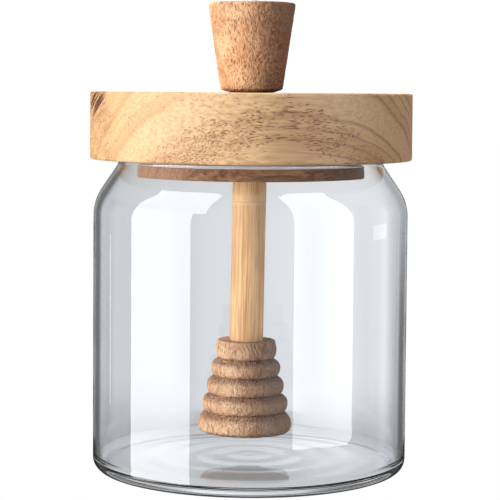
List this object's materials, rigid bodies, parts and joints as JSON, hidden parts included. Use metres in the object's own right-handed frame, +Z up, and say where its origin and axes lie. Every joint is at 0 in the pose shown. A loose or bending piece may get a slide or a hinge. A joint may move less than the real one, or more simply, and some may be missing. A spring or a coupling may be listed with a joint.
{
  "type": "honey pot",
  "caption": "Round clear glass storage jar with a thick wooden plug lid, a soft seal and a ringed wooden honey dipper hanging from the lid's knob.",
  "frame": {"origin": "centre of the ring that the jar stands on", "axes": "+Z up along the jar's axis; +X to the right and -Y towards the viewer of the picture; the dipper leans a little towards -X"},
  "size_m": [0.087, 0.087, 0.1265],
  "materials": {
    "glass": "clear, polished",
    "acacia": "oiled, satin, open pores",
    "silicone": "soft, translucent, matte",
    "hardwood": "turned, unfinished, short dark flecks",
    "bamboo": "planed, fine upright fibres"
  },
  "bodies": {
    "root": {"jar": "glass", "lid": "acacia", "seal_ring": "silicone", "knob": "hardwood", "dowel": "bamboo", "dipper_head": "hardwood"}
  },
  "joints": []
}
